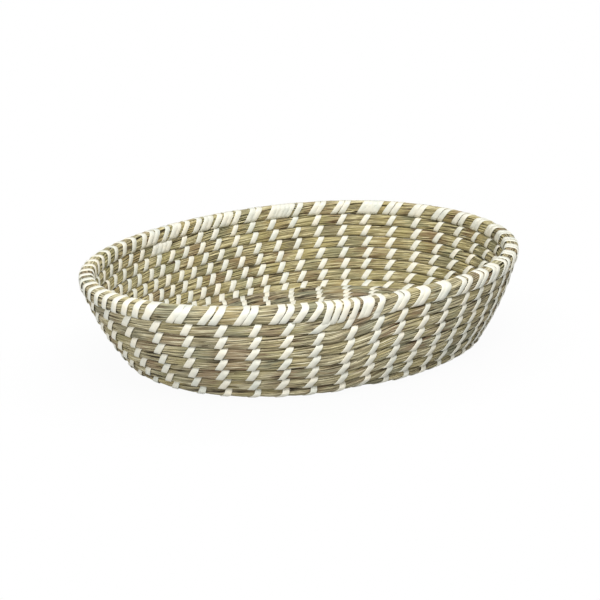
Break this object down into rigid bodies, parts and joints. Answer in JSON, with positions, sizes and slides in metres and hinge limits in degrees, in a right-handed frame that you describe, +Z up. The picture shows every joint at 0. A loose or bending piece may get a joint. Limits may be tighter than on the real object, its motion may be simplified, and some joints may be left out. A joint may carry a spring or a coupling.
{
  "type": "coiled basket",
  "caption": "Oval open basket of coiled seagrass, stitched lap to lap with flat white strip, with a flat base, a flared wall and a thicker rim; holds bread, fruit or small things.",
  "frame": {"origin": "under the middle of the base, on the surface that the basket stands on", "axes": "+X along the oval, +Y across it, +Z up"},
  "size_m": [0.3718, 0.2748, 0.0802],
  "materials": {
    "seagrass": "dry matte plant fibre",
    "strip": "satin"
  },
  "bodies": {
    "root": {"base_core": "seagrass", "base_coil_1": "seagrass", "base_coil_2": "seagrass", "base_coil_3": "seagrass", "base_coil_4": "seagrass", "base_coil_5": "seagrass", "base_coil_6": "seagrass", "base_coil_7": "seagrass", "base_coil_8": "seagrass", "base_coil_9": "seagrass", "heel_coil": "seagrass", "wall_1_coil": "seagrass", "wall_2_coil": "seagrass", "wall_3_coil": "seagrass", "wall_4_coil": "seagrass", "wall_5_coil": "seagrass", "wall_6_coil": "seagrass", "rim_coil": "seagrass", "base_strip_1": "strip", "base_strip_2": "strip", "base_strip_3": "strip", "base_strip_4": "strip", "base_strip_5": "strip", "base_strip_6": "strip", "base_strip_7": "strip", "base_strip_8": "strip", "base_strip_9": "strip", "heel_strip": "strip", "wall_1_strip": "strip", "wall_2_strip": "strip", "wall_3_strip": "strip", "wall_4_strip": "strip", "wall_5_strip": "strip", "wall_6_strip": "strip", "rim_strip": "strip", "rim_end_strip": "strip"}
  },
  "joints": []
}
